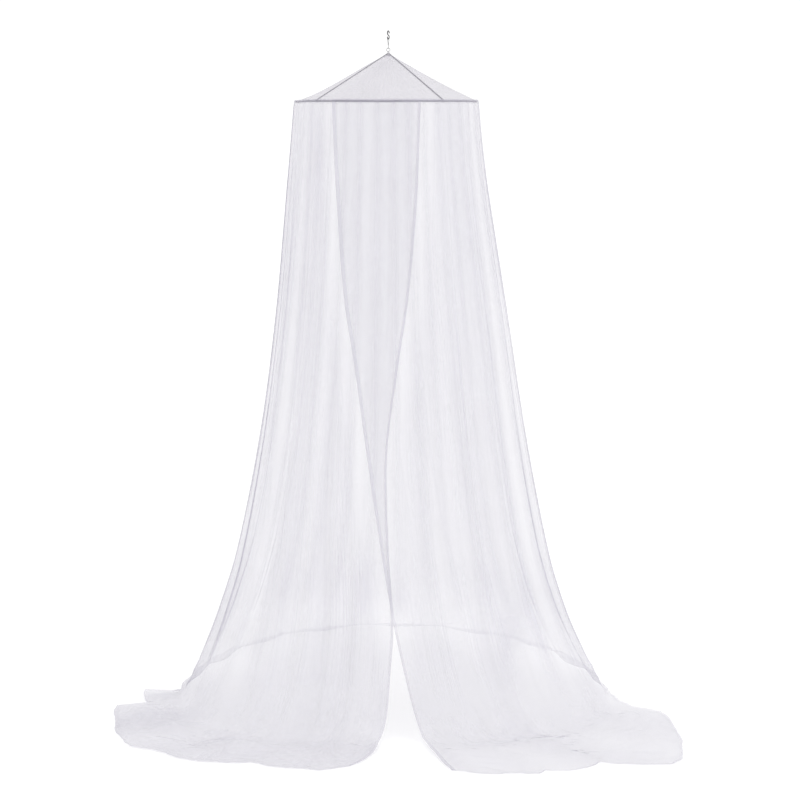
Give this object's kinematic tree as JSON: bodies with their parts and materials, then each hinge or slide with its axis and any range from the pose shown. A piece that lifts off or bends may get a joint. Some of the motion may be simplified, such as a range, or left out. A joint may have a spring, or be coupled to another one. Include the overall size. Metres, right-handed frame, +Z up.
{
  "type": "mosquito net canopy with its spreader hoop and hanging hook",
  "caption": "Round bed canopy of fine net: a cone of net over a rigid hoop, and a gathered wall that overlaps at the front, parts in a slit and lies on the floor, hung by tapes from an S-hook.",
  "frame": {"origin": "the point inside the S-hook's upper curl where the canopy's weight bears on what it hangs from", "axes": "+Z up, from the floor to the hook; -Y out of the front, where the wall net's free edges overlap and part"},
  "size_m": [1.8799, 1.6135, 2.2658],
  "materials": {
    "dark_steel": "satin",
    "cord": "matte",
    "bright_steel": "satin",
    "knot_tape": "matte",
    "hoop_rod": "matte",
    "tape": "matte",
    "roof_mesh": "matte",
    "wall_mesh": "matte"
  },
  "bodies": {
    "root": {"hook": "dark_steel", "cord_loop": "cord", "apex_ring": "bright_steel", "apex_knot": "knot_tape", "hoop": "hoop_rod", "tape_1": "tape", "tape_2": "tape", "tape_3": "tape", "tape_4": "tape", "roof_net": "roof_mesh", "wall_net": "wall_mesh"}
  },
  "joints": []
}
